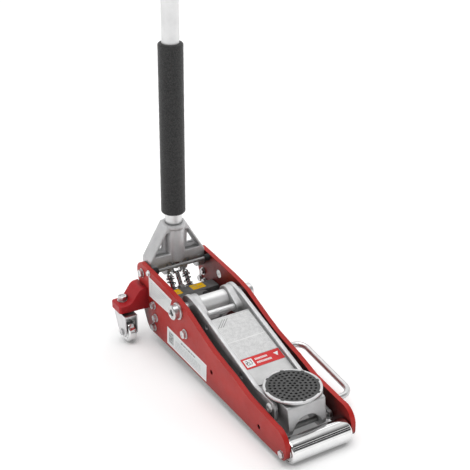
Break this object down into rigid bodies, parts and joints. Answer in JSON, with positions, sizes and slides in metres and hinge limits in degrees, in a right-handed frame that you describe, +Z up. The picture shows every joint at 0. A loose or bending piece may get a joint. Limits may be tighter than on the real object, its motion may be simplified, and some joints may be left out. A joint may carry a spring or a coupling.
{
  "type": "trolley jack",
  "caption": "Low aluminium trolley jack: red side plates, lift arm with swivel saddle, front roller, rear casters, side carry handle and upright pump handle with foam sleeve.",
  "frame": {"origin": "centre of the jack's footprint box, on the floor", "axes": "+Z up, -Y towards the front roller, +X towards the carry handle's side"},
  "size_m": [0.252, 0.5199, 1.1291],
  "materials": {
    "red_paint": "semi-gloss red enamel",
    "roller_chrome": "polished plating",
    "zinc_steel": "bright zinc",
    "black_plastic": "moulded black",
    "cast_aluminium": "tumbled casting",
    "link_steel": "zinc-plated bar",
    "sheet_aluminium": "satin",
    "block_iron": "dark grey painted casting",
    "hard_chrome": "ground and plated",
    "spring_steel": "black oiled wire",
    "black_rubber": "matt moulded rubber",
    "black_foam": "closed-cell foam",
    "white_label": "blank film",
    "red_label": "blank film",
    "yellow_label": "blank film"
  },
  "bodies": {
    "root": {"left_side_plate": "red_paint", "right_side_plate": "red_paint", "front_axle": "zinc_steel", "cross_rod": "zinc_steel", "cross_rod_caps": "black_plastic", "frame_bolts": "zinc_steel", "arm_pivot_shaft": "zinc_steel", "arm_pivot_nuts": "zinc_steel", "link_pivot_bolts": "zinc_steel", "yoke_pivot_bolts": "zinc_steel", "carry_handle": "sheet_aluminium", "carry_handle_nuts": "zinc_steel", "side_labels": "white_label", "power_block": "block_iron", "block_stickers": "yellow_label", "reservoir_tank": "block_iron", "filler_plug": "black_rubber", "ram_cylinder": "block_iron", "pump_barrels": "block_iron", "pump_springs": "spring_steel", "release_gland": "zinc_steel", "left_caster_bracket": "red_paint", "right_caster_bracket": "red_paint", "caster_bracket_bolts": "zinc_steel", "caster_swivel_bolts": "zinc_steel", "return_springs": "spring_steel"},
    "front_roller": {"front_roller": "roller_chrome"},
    "lift_arm": {"left_lift_arm": "cast_aluminium", "right_lift_arm": "cast_aluminium", "arm_pivot_tube": "zinc_steel", "arm_rear_rod": "zinc_steel", "arm_cover": "sheet_aluminium", "cover_panel": "white_label", "cover_band": "red_label", "crank_pin": "zinc_steel", "arm_front_bolts": "zinc_steel"},
    "saddle_carrier": {"saddle_carrier": "cast_aluminium", "carrier_link_pin": "zinc_steel"},
    "saddle": {"saddle_cup": "cast_aluminium", "saddle_pad": "black_rubber"},
    "link_bars": {"link_bars": "link_steel"},
    "ram_piston": {"ram_piston": "hard_chrome"},
    "handle_yoke": {"handle_yoke": "cast_aluminium", "handle_set_screw": "black_plastic"},
    "handle": {"handle_drive_fork": "hard_chrome", "lower_handle_tube": "sheet_aluminium", "foam_sleeve": "black_foam", "upper_handle_tube": "sheet_aluminium", "handle_grip": "black_rubber"},
    "snap_button": {"handle_snap_button": "zinc_steel"},
    "release_rod": {"release_rod": "hard_chrome"},
    "pump_plungers": {"pump_plungers": "hard_chrome"},
    "left_caster_fork": {"left_caster_fork": "zinc_steel", "left_caster_axle": "zinc_steel"},
    "left_caster_wheel": {"left_caster_wheel": "roller_chrome"},
    "right_caster_fork": {"right_caster_fork": "zinc_steel", "right_caster_axle": "zinc_steel"},
    "right_caster_wheel": {"right_caster_wheel": "roller_chrome"}
  },
  "joints": [
    {"name": "lift_arm_raise", "type": "hinge", "parent": "root", "child": "lift_arm", "pos_m": [0, 0.09835, 0.117], "axis": [-1, 0, 0], "range_deg": [0, 60], "deforming": ["return_springs"]},
    {"name": "saddle_level", "type": "hinge", "parent": "lift_arm", "child": "saddle_carrier", "pos_m": [0, -0.17265, 0.064], "axis": [-1, 0, 0], "range_deg": [-60.01, 0.01]},
    {"name": "link_swing", "type": "hinge", "parent": "root", "child": "link_bars", "pos_m": [0, 0.07485, 0.081], "axis": [-1, 0, 0], "range_deg": [-0.01, 60.01]},
    {"name": "ram_stroke", "type": "slide", "parent": "root", "child": "ram_piston", "axis": [0, -1, 0], "range_m": [-0.00001, 0.05201]},
    {"name": "saddle_swivel", "type": "hinge", "parent": "saddle_carrier", "child": "saddle", "pos_m": [0, -0.16665, 0.08], "axis": [0, 0, 1], "continuous": true},
    {"name": "front_roller_spin", "type": "hinge", "parent": "root", "child": "front_roller", "pos_m": [0, -0.23865, 0.0212], "axis": [1, 0, 0], "continuous": true},
    {"name": "handle_pump", "type": "hinge", "parent": "root", "child": "handle_yoke", "pos_m": [0, 0.23935, 0.129], "axis": [-1, 0, 0], "range_deg": [0, 65]},
    {"name": "pump_stroke", "type": "slide", "parent": "root", "child": "pump_plungers", "axis": [0, -0.5736, -0.8192], "range_m": [-0.00001, 0.00801], "deforming": ["pump_springs"]},
    {"name": "handle_twist", "type": "hinge", "parent": "handle_yoke", "child": "handle", "pos_m": [0, 0.23935, 0.129], "axis": [0, -0.0185, 0.9998], "range_deg": [0, 180]},
    {"name": "release_turn", "type": "hinge", "parent": "root", "child": "release_rod", "pos_m": [0, 0.23935, 0.129], "axis": [0, 0.5736, 0.8192], "range_deg": [-0.01, 180.01]},
    {"name": "snap_button_press", "type": "slide", "parent": "handle", "child": "snap_button", "axis": [0, -0.9998, -0.0185], "range_m": [0, 0.0024], "stiffness_N_per_m": 600},
    {"name": "left_caster_swivel", "type": "hinge", "parent": "root", "child": "left_caster_fork", "pos_m": [-0.1084, 0.24835, 0.06], "axis": [0, 0, 1], "continuous": true},
    {"name": "left_caster_roll", "type": "hinge", "parent": "left_caster_fork", "child": "left_caster_wheel", "pos_m": [-0.1084, 0.22835, 0.022], "axis": [1, 0, 0], "continuous": true},
    {"name": "right_caster_swivel", "type": "hinge", "parent": "root", "child": "right_caster_fork", "pos_m": [0.1084, 0.24835, 0.06], "axis": [0, 0, 1], "continuous": true},
    {"name": "right_caster_roll", "type": "hinge", "parent": "right_caster_fork", "child": "right_caster_wheel", "pos_m": [0.1084, 0.22835, 0.022], "axis": [1, 0, 0], "continuous": true}
  ],
  "couplings": [
    {"joint": "saddle_level", "follows": "lift_arm_raise", "ratio": -1},
    {"joint": "link_swing", "follows": "lift_arm_raise", "ratio": 1},
    {"joint": "ram_stroke", "follows": "lift_arm_raise", "m_per_rad": 0.049656},
    {"joint": "pump_stroke", "follows": "handle_pump", "m_per_rad": 0.0070518},
    {"joint": "release_turn", "follows": "handle_twist", "ratio": 1}
  ]
}
